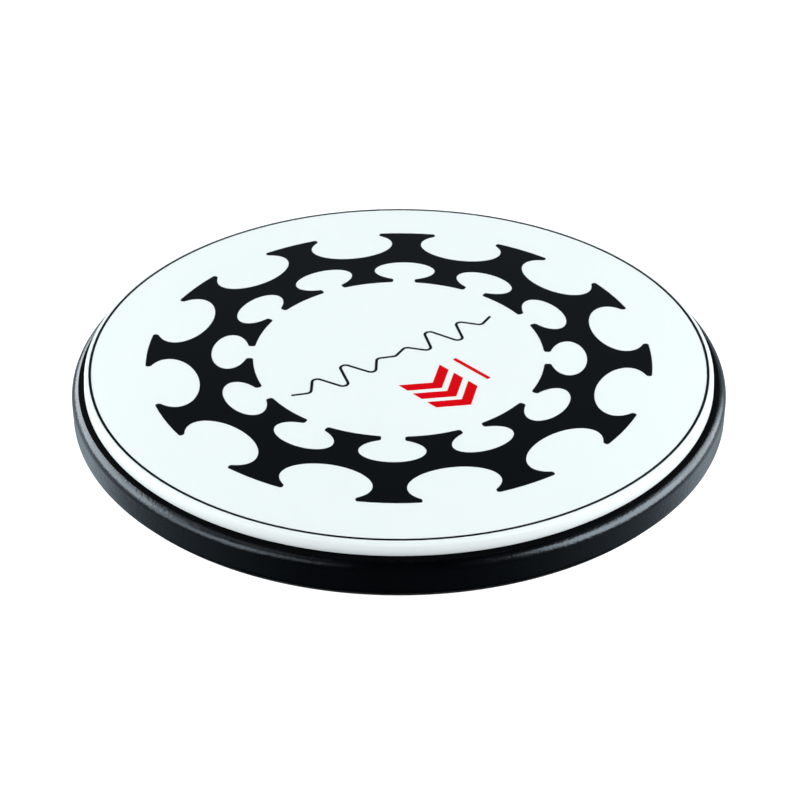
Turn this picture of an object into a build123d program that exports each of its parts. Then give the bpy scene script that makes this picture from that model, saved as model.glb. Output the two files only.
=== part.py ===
from build123d import *

import os
from math import hypot, pi, sin

# A round drum practice pad that lies flat: a white rubber playing surface glued to a black board, with a
# non-slip sheet below. Millimetres, +Z up, origin at the centre of the resting face. One arm of the printed
# ring points along +Y.

# Layers, from the resting face up
SHEET_THICKNESS = 2.0
FILM_THICKNESS = 0.2
BOARD_THICKNESS = 16.0
PAD_THICKNESS = 6.2
INK_THICKNESS = 0.1

BASE_FILM_Z = SHEET_THICKNESS
BOARD_Z = BASE_FILM_Z + FILM_THICKNESS
SURFACE_FILM_Z = BOARD_Z + BOARD_THICKNESS
PAD_Z = SURFACE_FILM_Z + FILM_THICKNESS
INK_Z = PAD_Z + PAD_THICKNESS

# Round edges of the layers
BOARD_RADIUS = 152.4
BOARD_SHOULDER_ROUND = 4.4
BOARD_LOWER_ROUND = 2.6
SHEET_RADIUS = 149.7
SHEET_EDGE_ROUND = 1.0
PAD_FOOT_RADIUS = 146.4
PAD_SIDE_DRAFT = 0.3
PAD_EDGE_ROUND = 1.8
FILM_SETBACK = 1.0

# Printed border line
BORDER_RADIUS = 143.4
BORDER_WIDTH = 1.2

# Printed ring: an annulus with a wide notch between each two arms, and a small notch behind each arm
ARM_COUNT = 12
ARM_STEP = 360 / ARM_COUNT
RING_OUTER_RADIUS = 117.8
RING_INNER_RADIUS = 68.0
RING_TIP_ROUND = 1.2
OUTER_NOTCH_CENTRE = 106.5
OUTER_NOTCH_DEPTH = 12.4
OUTER_NOTCH_HALF_WIDTH = 20.7
OUTER_GATE_HALF_WIDTH = 16.2
OUTER_GATE_LENGTH = 2 * (RING_OUTER_RADIUS - OUTER_NOTCH_CENTRE)
INNER_NOTCH_CENTRE = 79.0
INNER_NOTCH_DEPTH = 8.7
INNER_NOTCH_HALF_WIDTH = 14.9
INNER_GATE_HALF_WIDTH = 5.3
INNER_GATE_LENGTH = 2 * (INNER_NOTCH_CENTRE - RING_INNER_RADIUS)

# Printed flourish: one thin wave with round turns and two tall bursts
FLOURISH_START = (-47.0, -37.0)
FLOURISH_END = (43.0, 36.0)
FLOURISH_WIDTH = 1.3
FLOURISH_TURNS = 14
FLOURISH_TALLEST = 12.0
FLOURISH_LOWEST = 0.8
FLOURISH_TURN_ROUND = 2.4

# Printed accent: a row of nested chevrons, with a plain bar beside them
ACCENT_CENTRE = (22.0, -29.0)
ACCENT_ANGLE = -45.0
CHEVRON_COUNT = 3
CHEVRON_PITCH = 9.5
CHEVRON_HALF_SPAN = 13.0
CHEVRON_SLOPE = 9.0
CHEVRON_STROKE = 6.0
BAR_CENTRE = (-4.5, 21.5)
BAR_LENGTH = 23.0
BAR_WIDTH = 2.0


def arm_locations(radius, offset=0.0):
    """One location for each arm of the ring, its own X axis pointing outwards."""
    return PolarLocations(radius, ARM_COUNT, start_angle=offset)


# Non-slip sheet, with its lower edge rounded
with BuildPart() as non_slip_sheet:
    Cylinder(SHEET_RADIUS, SHEET_THICKNESS, align=(Align.CENTER, Align.CENTER, Align.MIN))
    fillet(non_slip_sheet.edges().group_by(Axis.Z)[0], SHEET_EDGE_ROUND)

# Glue film between the sheet and the board
with BuildPart() as base_adhesive:
    with BuildSketch(Plane.XY.offset(BASE_FILM_Z)):
        Circle(SHEET_RADIUS - FILM_SETBACK)
    extrude(amount=FILM_THICKNESS)

# Board, with a large round on its shoulder and a smaller one below
with BuildPart() as base_board:
    with BuildSketch(Plane.XY.offset(BOARD_Z)):
        Circle(BOARD_RADIUS)
    extrude(amount=BOARD_THICKNESS)
    fillet(base_board.edges().group_by(Axis.Z)[-1], BOARD_SHOULDER_ROUND)
    fillet(base_board.edges().group_by(Axis.Z)[0], BOARD_LOWER_ROUND)

# Glue film between the board and the playing surface
with BuildPart() as surface_adhesive:
    with BuildSketch(Plane.XY.offset(SURFACE_FILM_Z)):
        Circle(PAD_FOOT_RADIUS - FILM_SETBACK)
    extrude(amount=FILM_THICKNESS)

# Playing surface, with a slight draft on its side and a rounded upper edge
with BuildPart() as playing_surface:
    with BuildSketch(Plane.XZ) as pad_section:
        with BuildLine():
            Polyline(
                (0, PAD_Z),
                (PAD_FOOT_RADIUS, PAD_Z),
                (PAD_FOOT_RADIUS - PAD_SIDE_DRAFT, INK_Z),
                (0, INK_Z),
                close=True,
            )
        make_face()
        upper_corner = pad_section.vertices().group_by(Axis.Y)[-1].sort_by(Axis.X)[-1]
        fillet(upper_corner, PAD_EDGE_ROUND)
    revolve(axis=Axis.Z)

# Printed border line
with BuildPart() as border_line:
    with BuildSketch(Plane.XY.offset(INK_Z)):
        Circle(BORDER_RADIUS + BORDER_WIDTH / 2)
        Circle(BORDER_RADIUS - BORDER_WIDTH / 2, mode=Mode.SUBTRACT)
    extrude(amount=INK_THICKNESS)

# Printed ring. Each notch is an ellipse with a straight gate out through the ring's rim.
with BuildPart() as ring_print:
    with BuildSketch(Plane.XY.offset(INK_Z)):
        with Locations(Location((0, 0, 0), (0, 0, ARM_STEP / 2))):
            Circle(RING_OUTER_RADIUS)
        Circle(RING_INNER_RADIUS, mode=Mode.SUBTRACT)
        with arm_locations(OUTER_NOTCH_CENTRE, ARM_STEP / 2):
            Ellipse(OUTER_NOTCH_DEPTH, OUTER_NOTCH_HALF_WIDTH, mode=Mode.SUBTRACT)
        with arm_locations(RING_OUTER_RADIUS, ARM_STEP / 2):
            Rectangle(OUTER_GATE_LENGTH, 2 * OUTER_GATE_HALF_WIDTH, mode=Mode.SUBTRACT)
        with arm_locations(INNER_NOTCH_CENTRE):
            Ellipse(INNER_NOTCH_DEPTH, INNER_NOTCH_HALF_WIDTH, rotation=180, mode=Mode.SUBTRACT)
        with arm_locations(RING_INNER_RADIUS):
            Rectangle(INNER_GATE_LENGTH, 2 * INNER_GATE_HALF_WIDTH, mode=Mode.SUBTRACT)
    extrude(amount=INK_THICKNESS)
    fillet(ring_print.edges().filter_by(Axis.Z), RING_TIP_ROUND)

# Printed flourish, drawn along its own axis
flourish_run = (FLOURISH_END[0] - FLOURISH_START[0], FLOURISH_END[1] - FLOURISH_START[1])
flourish_length = hypot(*flourish_run)
flourish_plane = Plane(
    origin=(*FLOURISH_START, INK_Z),
    x_dir=(*flourish_run, 0),
    z_dir=(0, 0, 1),
)


def flourish_point(turn):
    """The wave's turning point of that number: above and below its axis by turns."""
    along = turn / FLOURISH_TURNS
    height = FLOURISH_LOWEST + (FLOURISH_TALLEST - FLOURISH_LOWEST) * sin(2 * pi * along) ** 2
    return (along * flourish_length, height * (-1) ** turn)


with BuildPart() as flourish_print:
    with BuildSketch(flourish_plane):
        with BuildLine():
            flourish_points = [flourish_point(turn) for turn in range(FLOURISH_TURNS + 1)]
            FilletPolyline(*flourish_points, radius=FLOURISH_TURN_ROUND)
        trace(line_width=FLOURISH_WIDTH)
    extrude(amount=INK_THICKNESS)


def chevron_outline():
    """The six corners of a chevron that points along +X, centred on its own origin."""
    end, tip, half = -CHEVRON_SLOPE / 2, CHEVRON_SLOPE / 2, CHEVRON_STROKE / 2
    front = [(end + half, -CHEVRON_HALF_SPAN), (tip + half, 0), (end + half, CHEVRON_HALF_SPAN)]
    back = [(end - half, CHEVRON_HALF_SPAN), (tip - half, 0), (end - half, -CHEVRON_HALF_SPAN)]
    return front + back


# Printed accent: chevrons in a row along its own X axis, then the bar
accent_plane = Plane(origin=(*ACCENT_CENTRE, INK_Z), z_dir=(0, 0, 1)).rotated((0, 0, ACCENT_ANGLE))
with BuildPart() as accent_print:
    with BuildSketch(accent_plane):
        with GridLocations(CHEVRON_PITCH, 0, CHEVRON_COUNT, 1):
            Polygon(*chevron_outline(), align=None)
        with Locations(BAR_CENTRE):
            Rectangle(BAR_LENGTH, BAR_WIDTH)
    extrude(amount=INK_THICKNESS)

nodes = {
    "non_slip_sheet": non_slip_sheet,
    "base_adhesive": base_adhesive,
    "base_board": base_board,
    "surface_adhesive": surface_adhesive,
    "playing_surface": playing_surface,
    "border_line": border_line,
    "ring_print": ring_print,
    "flourish_print": flourish_print,
    "accent_print": accent_print,
}

os.makedirs("parts", exist_ok=True)
for name, node in nodes.items():
    node.part.label = name
    export_step(node.part, f"parts/{name}.step")
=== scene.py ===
"""The looks of a round drum practice pad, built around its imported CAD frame.

The pad is a white rubber disc with a printed face, glued to a black board with a non-slip sheet below.
Everything is in metres, in the CAD frame: +Z up, the resting face at z = 0, and one arm of the printed
ring along +Y.
"""

from math import cos, pi, radians, sin
from typing import NamedTuple

import bmesh
import bpy
from mathutils import Matrix, Vector


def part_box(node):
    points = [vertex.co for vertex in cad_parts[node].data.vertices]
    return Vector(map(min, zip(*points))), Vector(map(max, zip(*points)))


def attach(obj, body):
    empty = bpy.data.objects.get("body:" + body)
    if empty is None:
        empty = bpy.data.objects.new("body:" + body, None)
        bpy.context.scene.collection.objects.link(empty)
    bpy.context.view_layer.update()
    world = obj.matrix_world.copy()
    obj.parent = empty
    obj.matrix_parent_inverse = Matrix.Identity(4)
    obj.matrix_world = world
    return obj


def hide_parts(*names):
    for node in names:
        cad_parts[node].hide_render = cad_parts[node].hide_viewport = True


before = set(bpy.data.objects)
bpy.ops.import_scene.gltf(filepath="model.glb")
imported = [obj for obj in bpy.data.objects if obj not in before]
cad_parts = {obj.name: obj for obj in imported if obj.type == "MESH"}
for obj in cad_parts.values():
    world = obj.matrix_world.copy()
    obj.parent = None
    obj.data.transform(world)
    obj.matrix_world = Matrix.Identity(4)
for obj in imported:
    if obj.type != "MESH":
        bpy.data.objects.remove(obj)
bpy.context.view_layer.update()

BODY = "root"
MM = 0.001

# Round pieces are turned about the pad's axis with this many steps
TURN_STEPS = 360

# Rounds of the turned pieces
PAD_TOP_ROUND = 1.8 * MM
PAD_SIDE_DRAFT = 0.3 * MM
PAD_FOOT_BREAK = 0.25 * MM
BOARD_SHOULDER_ROUND = 4.4 * MM
BOARD_LOWER_ROUND = 2.6 * MM
SHEET_EDGE_ROUND = 1.0 * MM

# Rings of vertices between the board's two rounds, as shares of its height
BOARD_WALL_SHARES = (0.3, 0.5, 0.7)

# The board is matt where the upright part of a face's normal is above this: within about 14 degrees of level
MATT_ABOVE = 0.97

# Camera: low in front of the pad, with a long lens so that the perspective is gentle
CAMERA_AZIMUTH = radians(2.06)
CAMERA_ELEVATION = radians(33.18)
CAMERA_DISTANCE = 1.0014
CAMERA_AIM_BELOW = 0.0210
CAMERA_AIM_RIGHT = 0.0005
CAMERA_LENS = 96.5
CAMERA_SENSOR = 36.0
CAMERA_NEAR = 0.01

# Studio: the size of its floor and dome, and the gap that keeps the floor clear of the resting face
STUDIO_RADIUS = 4.0
DOME_SUBDIVISIONS = 4
FLOOR_GAP = 0.2 * MM

# The room as seen in reflections. Each stop is a part of the view direction, from -1 to 1 (front to back for
# depth, down to up for height), and the brightness there.
ROOM_TINT = (0.76, 0.90, 1.0)
ROOM_RADIANCE = 1.3
ROOM_DEPTH = [
    (-0.85, 0.02),
    (-0.64, 0.07),
    (-0.29, 0.20),
    (0.15, 0.30),
    (0.54, 0.84),
    (0.80, 0.32),
    (1.0, 0.40),
]
ROOM_HEIGHT = [
    (-0.80, 0.02),
    (-0.60, 1.0),
    (0.10, 1.0),
    (0.26, 0.50),
    (0.42, 0.42),
    (0.52, 0.30),
    (0.62, 0.0),
]

# Most values of a noise texture lie between these
NOISE_BULK = (0.3, 0.7)


class Softbox(NamedTuple):
    """A rectangular area light that faces the pad: where it hangs, in degrees and metres, and its size.

    Azimuth 0 is the front and 90 the right.
    """

    name: str
    azimuth: float
    elevation: float
    distance: float
    size: tuple
    radiance: float


SOFTBOX_COLOUR = (0.94, 0.99, 1.0)

# These only show as sheens on the board's painted edge
SHEENS = [
    Softbox("sheen_right_front", 76, 21.5, 1.3, (1.2, 0.95), 8.1),
    Softbox("sheen_right_back", 116, 21.5, 1.3, (0.7, 0.95), 5.8),
    Softbox("sheen_left", -117, 26, 1.3, (1.6, 0.86), 6.2),
    Softbox("sheen_left_front", -66, 14, 1.3, (1.1, 0.68), 3.2),
    Softbox("sheen_front_left", -40, 24, 1.3, (0.7, 0.55), 1.5),
    Softbox("sheen_high_left", -70, 56, 1.3, (0.9, 0.35), 0.8),
]

# These light every surface, and don't show in reflections
FILLS = [
    Softbox("fill_right", 74, 26, 0.75, (0.8, 0.45), 4.8),
    Softbox("fill_left", -74, 26, 0.75, (0.8, 0.45), 4.6),
    Softbox("fill_front", 0, 15, 1.2, (1.2, 0.5), 1.25),
    Softbox("fill_back", 180, 35, 0.8, (1.0, 0.5), 2.4),
    Softbox("fill_top", 0, 90, 1.3, (0.8, 0.8), 2.2),
]


# ---------------------------------------------------------------- node helpers


class Shader:
    """A material with one Principled shader, and short calls to add the nodes that feed it."""

    def __init__(self, name):
        self.material = bpy.data.materials.new(name)
        self.material.use_nodes = True
        self.tree = self.material.node_tree
        self.surface = next(n for n in self.tree.nodes if n.type == "BSDF_PRINCIPLED")
        self.place = self.node("ShaderNodeTexCoord").outputs["Object"]

    def node(self, kind, **settings):
        made = self.tree.nodes.new(kind)
        for key, value in settings.items():
            setattr(made, key, value)
        return made

    def link(self, source, target):
        self.tree.links.new(source, target)

    def set(self, **values):
        """Uniform values, on the shader's own sockets."""
        for key, value in values.items():
            self.surface.inputs[key.replace("_", " ")].default_value = value

    def feed(self, **sources):
        """Node outputs into the shader's sockets."""
        for key, source in sources.items():
            self.link(source, self.surface.inputs[key.replace("_", " ")])

    def noise(self, size, detail=2.0, roughness=0.5, stretch=None):
        """Noise with features about that size in metres, longer on an axis where stretch is below 1."""
        made = self.node("ShaderNodeTexNoise")
        made.inputs["Scale"].default_value = 1.0 / size
        made.inputs["Detail"].default_value = detail
        made.inputs["Roughness"].default_value = roughness
        place = self.place
        if stretch:
            mapping = self.node("ShaderNodeMapping")
            mapping.inputs["Scale"].default_value = stretch
            self.link(place, mapping.inputs["Vector"])
            place = mapping.outputs["Vector"]
        self.link(place, made.inputs["Vector"])
        return made.outputs["Fac"]

    def cells(self, size):
        """Distance to the nearest of scattered points, about that many metres apart."""
        made = self.node("ShaderNodeTexVoronoi")
        made.inputs["Scale"].default_value = 1.0 / size
        self.link(self.place, made.inputs["Vector"])
        return made.outputs["Distance"]

    def spread(self, source, low, high, within=(0.0, 1.0)):
        """The source, remapped so that its values within that range run from low to high."""
        made = self.node("ShaderNodeMapRange")
        made.inputs["From Min"].default_value = within[0]
        made.inputs["From Max"].default_value = within[1]
        made.inputs["To Min"].default_value = low
        made.inputs["To Max"].default_value = high
        self.link(source, made.inputs["Value"])
        return made.outputs["Result"]

    def blend(self, factor, first, second):
        """A colour between first and second, each a colour or another node's output."""
        made = self.node("ShaderNodeMix", data_type="RGBA")
        self.link(factor, made.inputs["Factor"])
        colours = [socket for socket in made.inputs if socket.type == "RGBA"]
        for socket, value in zip(colours, (first, second)):
            if isinstance(value, tuple):
                socket.default_value = (*value, 1.0)
            else:
                self.link(value, socket)
        return next(socket for socket in made.outputs if socket.type == "RGBA")

    def bump(self, height, strength, distance, below=None):
        """A bumped normal, on top of the one below if there is one."""
        made = self.node("ShaderNodeBump")
        made.inputs["Strength"].default_value = strength
        made.inputs["Distance"].default_value = distance
        self.link(height, made.inputs["Height"])
        if below is not None:
            self.link(below, made.inputs["Normal"])
        return made.outputs["Normal"]


# ---------------------------------------------------------------- materials


def white_rubber():
    """Smooth moulded rubber: cool white, faintly mottled, with a fine even grain."""
    shader = Shader("white_rubber")
    cloud = shader.noise(45 * MM, detail=3.0)
    fine = shader.noise(2.2 * MM, detail=4.0, roughness=0.6)
    grain = shader.noise(0.35 * MM)
    mottled = shader.blend(cloud, (0.775, 0.815, 0.818), (0.800, 0.835, 0.832))
    specks = shader.spread(fine, 0.0, 0.12, within=(0.55, 0.8))
    ripple = shader.bump(fine, strength=0.08, distance=0.1 * MM)
    shader.feed(
        Base_Color=shader.blend(specks, mottled, (0.70, 0.74, 0.735)),
        Roughness=shader.spread(fine, 0.50, 0.62, within=NOISE_BULK),
        Normal=shader.bump(grain, strength=0.12, distance=0.04 * MM, below=ripple),
    )
    shader.set(IOR=1.47)
    return shader.material


def painted_edge():
    """Satin black paint on the turned edge: fine orange peel, and faint streaks left by the turning."""
    shader = Shader("painted_edge")
    peel = shader.noise(1.2 * MM, roughness=0.6)
    streaks = shader.noise(0.9 * MM, detail=3.0, roughness=0.65, stretch=(0.08, 0.08, 1.0))
    scuffs = shader.noise(12 * MM, detail=4.0, roughness=0.7)
    dimples = shader.bump(peel, strength=0.6, distance=0.22 * MM)
    shader.feed(
        Base_Color=shader.blend(scuffs, (0.0002, 0.0004, 0.0007), (0.0006, 0.0010, 0.0014)),
        Roughness=shader.spread(scuffs, 0.18, 0.25, within=(0.35, 0.7)),
        Normal=shader.bump(streaks, strength=0.5, distance=0.12 * MM, below=dimples),
    )
    shader.set(Specular_Tint=(0.77, 0.88, 1.0, 1.0))
    return shader.material


def dull_face():
    """The board above and below its painted edge: black primer left matt, with a close felted grain."""
    shader = Shader("dull_face")
    felt = shader.noise(0.7 * MM, detail=4.0, roughness=0.7)
    dust = shader.noise(15 * MM, detail=3.0)
    shader.feed(
        Base_Color=shader.blend(dust, (0.0006, 0.0007, 0.0009), (0.0013, 0.0015, 0.0018)),
        Roughness=shader.spread(felt, 0.75, 0.95, within=NOISE_BULK),
        Normal=shader.bump(felt, strength=0.5, distance=0.1 * MM),
    )
    shader.set(Specular_IOR_Level=0.02)
    return shader.material


def black_rubber():
    """Non-slip rubber: matt charcoal black in close pebbles, a little dusty between them."""
    shader = Shader("black_rubber")
    pebbles = shader.cells(2.6 * MM)
    dust = shader.noise(30 * MM, detail=4.0, roughness=0.65)
    rubber = shader.blend(dust, (0.008, 0.0085, 0.009), (0.014, 0.0145, 0.015))
    gaps = shader.spread(pebbles, 0.0, 0.8, within=(0.35, 0.75))
    shader.feed(
        Base_Color=shader.blend(gaps, rubber, (0.026, 0.026, 0.025)),
        Roughness=shader.spread(dust, 0.70, 0.9, within=NOISE_BULK),
        Normal=shader.bump(pebbles, strength=0.4, distance=-0.4 * MM),
    )
    shader.set(Specular_IOR_Level=0.3)
    return shader.material


def ink(name, deep, pale, gloss):
    """Screen-printed ink: an even satin film with a faint mesh of pinholes."""
    shader = Shader(name)
    cloud = shader.noise(30 * MM, detail=3.0)
    pinholes = shader.noise(0.6 * MM)
    shader.feed(
        Base_Color=shader.blend(cloud, deep, pale),
        Roughness=shader.spread(pinholes, 0.28, 0.36, within=NOISE_BULK),
        Normal=shader.bump(pinholes, strength=0.06, distance=0.03 * MM),
    )
    shader.set(Specular_IOR_Level=gloss)
    return shader.material


def black_ink():
    return ink("black_ink", (0.0004, 0.0008, 0.0013), (0.0010, 0.0015, 0.0022), gloss=0.35)


def red_ink():
    return ink("red_ink", (0.60, 0.0006, 0.0036), (0.64, 0.0010, 0.0046), gloss=0.01)


def glue():
    """Set contact glue: amber and streaky, hidden in the joints."""
    shader = Shader("glue")
    streaks = shader.noise(6 * MM, detail=3.0)
    shader.feed(
        Base_Color=shader.blend(streaks, (0.20, 0.16, 0.10), (0.30, 0.26, 0.18)),
        Roughness=shader.spread(streaks, 0.35, 0.6),
        Normal=shader.bump(streaks, strength=0.2, distance=0.1 * MM),
    )
    return shader.material


def studio_white(name):
    """Glowing white with a faint unevenness, for the floor and the dome."""
    shader = Shader(name)
    cloud = shader.noise(600 * MM)
    shader.feed(Base_Color=shader.blend(cloud, (0.30, 0.30, 0.30), (0.33, 0.33, 0.33)))
    shader.set(Roughness=0.9, Emission_Color=(1.0, 1.0, 1.0, 1.0), Emission_Strength=1.0)
    return shader


def clear_from_below(shader):
    """Lets light and sight through the back of a face, so that the pad's underside can be looked at."""
    geometry = shader.node("ShaderNodeNewGeometry")
    clear = shader.node("ShaderNodeBsdfTransparent")
    either = shader.node("ShaderNodeMixShader")
    output = next(n for n in shader.tree.nodes if n.type == "OUTPUT_MATERIAL")
    shader.link(geometry.outputs["Backfacing"], either.inputs["Fac"])
    shader.link(shader.surface.outputs["BSDF"], either.inputs[1])
    shader.link(clear.outputs["BSDF"], either.inputs[2])
    shader.link(either.outputs["Shader"], output.inputs["Surface"])


# ---------------------------------------------------------------- turned meshes


def arc(centre, radius, start, end, steps):
    """Points (r, z) of an arc in the turning section, from one angle to the other in degrees."""
    points = []
    for step in range(steps + 1):
        angle = radians(start + (end - start) * step / steps)
        points.append((centre[0] + radius * cos(angle), centre[1] + radius * sin(angle)))
    return points


def inner_rings(radius, z, count):
    """Rings of a flat face between the axis and radius, so that its faces stay compact."""
    return [(radius * step / count, z) for step in range(1, count)]


def turned(name, section):
    """A closed solid turned from section, points (r, z) that start and end on the axis."""
    mesh = bmesh.new()
    rings = []
    for r, z in section:
        if r == 0:
            rings.append([mesh.verts.new((0, 0, z))])
            continue
        angles = (2 * pi * step / TURN_STEPS for step in range(TURN_STEPS))
        rings.append([mesh.verts.new((r * cos(a), r * sin(a), z)) for a in angles])
    for lower, upper in zip(rings, rings[1:]):
        for step in range(TURN_STEPS):
            after = (step + 1) % TURN_STEPS
            corners = [lower[step % len(lower)], lower[after % len(lower)]]
            corners += [upper[after % len(upper)], upper[step % len(upper)]]
            mesh.faces.new(list(dict.fromkeys(corners)))
    bmesh.ops.recalc_face_normals(mesh, faces=mesh.faces)
    data = bpy.data.meshes.new(name)
    mesh.to_mesh(data)
    mesh.free()
    data.shade_smooth()
    piece = bpy.data.objects.new(name, data)
    bpy.context.scene.collection.objects.link(piece)
    return piece


def carried(piece, node):
    """Ties a piece to the body, and lets it stand for the CAD node."""
    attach(piece, BODY)
    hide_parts(node)


# ---------------------------------------------------------------- pieces of the pad


def playing_surface():
    """The white rubber disc: flat face, round upper edge, drafted side and a small break at the foot."""
    low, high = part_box("playing_surface")
    flat_foot = high.x - PAD_FOOT_BREAK
    flat_top = high.x - PAD_SIDE_DRAFT - PAD_TOP_ROUND
    section = [(0, low.z), *inner_rings(flat_foot, low.z, count=6), (flat_foot, low.z)]
    section += arc((flat_foot, low.z + PAD_FOOT_BREAK), PAD_FOOT_BREAK, -80, 0, steps=4)
    section += arc((flat_top, high.z - PAD_TOP_ROUND), PAD_TOP_ROUND, 2, 90, steps=14)
    section += [*reversed(inner_rings(flat_top, high.z, count=12)), (0, high.z)]
    piece = turned("playing_surface_rubber", section)
    piece.data.materials.append(white_rubber())
    carried(piece, "playing_surface")


def base_board():
    """The black board: a large round on its shoulder, a smaller one below, satin paint on its edge only."""
    low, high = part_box("base_board")
    flat_foot = high.x - BOARD_LOWER_ROUND
    flat_top = high.x - BOARD_SHOULDER_ROUND
    section = [(0, low.z), *inner_rings(flat_foot, low.z, count=6)]
    section += arc((flat_foot, low.z + BOARD_LOWER_ROUND), BOARD_LOWER_ROUND, -90, 0, steps=12)
    section += [(high.x, low.z + (high.z - low.z) * share) for share in BOARD_WALL_SHARES]
    section += arc((flat_top, high.z - BOARD_SHOULDER_ROUND), BOARD_SHOULDER_ROUND, 0, 90, steps=24)
    section += [*reversed(inner_rings(flat_top, high.z, count=8)), (0, high.z)]
    piece = turned("base_board_painted", section)
    piece.data.materials.append(painted_edge())
    piece.data.materials.append(dull_face())
    for face in piece.data.polygons:
        face.material_index = int(abs(face.normal.z) > MATT_ABOVE)
    carried(piece, "base_board")
    return piece


def non_slip_sheet():
    """The rubber sheet under the board, with a soft lower edge."""
    low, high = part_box("non_slip_sheet")
    flat_foot = high.x - SHEET_EDGE_ROUND
    section = [(0, low.z), *inner_rings(flat_foot, low.z, count=24)]
    section += arc((flat_foot, low.z + SHEET_EDGE_ROUND), SHEET_EDGE_ROUND, -90, 0, steps=8)
    section += [(high.x, high.z), *reversed(inner_rings(high.x, high.z, count=6)), (0, high.z)]
    piece = turned("non_slip_sheet_rubber", section)
    piece.data.materials.append(black_rubber())
    carried(piece, "non_slip_sheet")


def coat(material, *nodes):
    """Gives those CAD nodes the material. Their shapes stay as they are."""
    for node in nodes:
        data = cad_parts[node].data
        data.materials.clear()
        data.materials.append(material)


def printed_layers():
    """The inks on the playing surface, and the glue films in the two joints."""
    coat(black_ink(), "border_line", "ring_print", "flourish_print")
    coat(red_ink(), "accent_print")
    coat(glue(), "base_adhesive", "surface_adhesive")


# ---------------------------------------------------------------- camera


def camera():
    """The camera, aimed a little below the middle of the playing surface."""
    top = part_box("playing_surface")[1].z
    side = Vector((cos(CAMERA_AZIMUTH), sin(CAMERA_AZIMUTH), 0))
    level = Vector((-sin(CAMERA_AZIMUTH), cos(CAMERA_AZIMUTH), 0))
    ahead = level * cos(CAMERA_ELEVATION) - Vector((0, 0, sin(CAMERA_ELEVATION)))
    upward = side.cross(ahead)
    aim = Vector((0, 0, top)) - upward * CAMERA_AIM_BELOW + side * CAMERA_AIM_RIGHT
    data = bpy.data.cameras.new("camera")
    data.lens = CAMERA_LENS
    data.sensor_width = CAMERA_SENSOR
    data.clip_start = CAMERA_NEAR
    made = bpy.data.objects.new("camera", data)
    axes = Matrix((side, upward, -ahead)).transposed()
    made.matrix_world = Matrix.Translation(aim - ahead * CAMERA_DISTANCE) @ axes.to_4x4()
    bpy.context.scene.collection.objects.link(made)
    bpy.context.scene.camera = made


# ---------------------------------------------------------------- light


def area_light(box):
    """The softbox as an area light that the camera doesn't see."""
    turn, lift = radians(box.azimuth), radians(box.elevation)
    away = Vector((sin(turn) * cos(lift), -cos(turn) * cos(lift), sin(lift)))
    width, height = box.size
    data = bpy.data.lights.new(box.name, "AREA")
    data.shape = "RECTANGLE"
    data.size, data.size_y = width, height
    data.energy = box.radiance * pi * width * height
    data.color = SOFTBOX_COLOUR
    made = bpy.data.objects.new(box.name, data)
    made.location = away * box.distance
    made.rotation_euler = away.to_track_quat("Z", "Y").to_euler()
    made.visible_camera = False
    bpy.context.scene.collection.objects.link(made)
    return made


def sheen(box, piece):
    """A softbox that only shows as a reflection, and on that piece alone."""
    made = area_light(box)
    made.visible_diffuse = False
    lit = bpy.data.collections.new(box.name + "_lit")
    lit.objects.link(piece)
    made.light_linking.receiver_collection = lit


def fill(box):
    """A softbox that lights every surface and doesn't show in reflections."""
    area_light(box).visible_glossy = False


def lights(board):
    for box in SHEENS:
        sheen(box, board)
    for box in FILLS:
        fill(box)


def ramp(tree, part, stops):
    """Brightness along one part of the view direction, through the given (position, brightness) stops."""
    centred = tree.nodes.new("ShaderNodeMapRange")
    centred.inputs["From Min"].default_value = -1.0
    made = tree.nodes.new("ShaderNodeValToRGB")
    elements = made.color_ramp.elements
    while len(elements) < len(stops):
        elements.new(0.5)
    for element, (position, value) in zip(elements, stops):
        element.position = (position + 1) / 2
        element.color = (value, value, value, 1.0)
    tree.links.new(part, centred.inputs["Value"])
    tree.links.new(centred.outputs["Result"], made.inputs["Fac"])
    return made.outputs["Color"]


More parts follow.
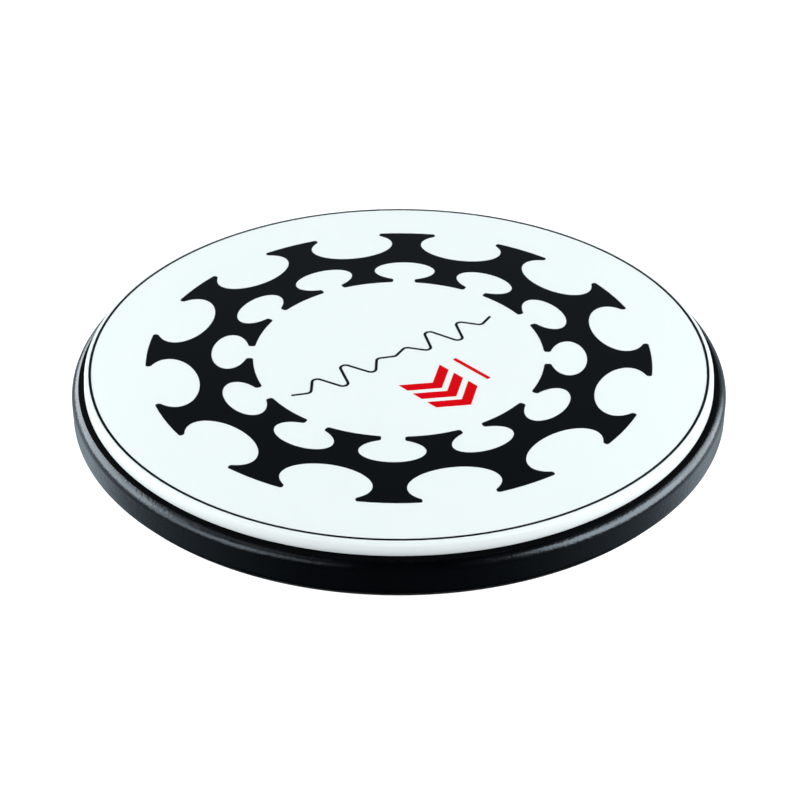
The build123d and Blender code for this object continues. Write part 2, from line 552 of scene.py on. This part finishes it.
def room():
    """What glossy surfaces see beyond the softboxes: dark in front and above, bright low down behind."""
    world = bpy.data.worlds.new("room")
    bpy.context.scene.world = world
    world.use_nodes = True
    world.cycles_visibility.diffuse = False
    tree = world.node_tree
    background = next(n for n in tree.nodes if n.type == "BACKGROUND")
    background.inputs["Color"].default_value = (*ROOM_TINT, 1.0)
    direction = tree.nodes.new("ShaderNodeTexCoord").outputs["Generated"]
    split = tree.nodes.new("ShaderNodeSeparateXYZ")
    tree.links.new(direction, split.inputs["Vector"])
    product = tree.nodes.new("ShaderNodeMath")
    product.operation = "MULTIPLY"
    tree.links.new(ramp(tree, split.outputs["Y"], ROOM_DEPTH), product.inputs[0])
    tree.links.new(ramp(tree, split.outputs["Z"], ROOM_HEIGHT), product.inputs[1])
    scaled = tree.nodes.new("ShaderNodeMapRange")
    scaled.inputs["To Max"].default_value = ROOM_RADIANCE
    tree.links.new(product.outputs["Value"], scaled.inputs["Value"])
    tree.links.new(scaled.outputs["Result"], background.inputs["Strength"])


# ---------------------------------------------------------------- floor and backdrop


def staged(mesh, shader):
    """A part of the studio. Reflections see the room instead of it."""
    mesh.materials.append(shader.material)
    made = bpy.data.objects.new(mesh.name, mesh)
    made.visible_glossy = False
    bpy.context.scene.collection.objects.link(made)
    return made


def floor():
    """A flat white square, a hair below the resting face."""
    signs = ((-1, -1), (1, -1), (1, 1), (-1, 1))
    corners = [(x * STUDIO_RADIUS, y * STUDIO_RADIUS, -FLOOR_GAP) for x, y in signs]
    mesh = bpy.data.meshes.new("floor")
    mesh.from_pydata(corners, [], [range(len(corners))])
    shader = studio_white("floor")
    clear_from_below(shader)
    staged(mesh, shader)


def backdrop():
    """A white dome behind everything. Only the camera sees it."""
    shell = bmesh.new()
    bmesh.ops.create_icosphere(shell, subdivisions=DOME_SUBDIVISIONS, radius=STUDIO_RADIUS)
    mesh = bpy.data.meshes.new("backdrop")
    shell.to_mesh(mesh)
    shell.free()
    made = staged(mesh, studio_white("backdrop"))
    made.visible_diffuse = False
    made.visible_transmission = False
    made.visible_shadow = False


# ---------------------------------------------------------------- scene

playing_surface()
board = base_board()
non_slip_sheet()
printed_layers()
camera()
lights(board)
room()
floor()
backdrop()

bpy.context.scene.view_settings.view_transform = "Standard"
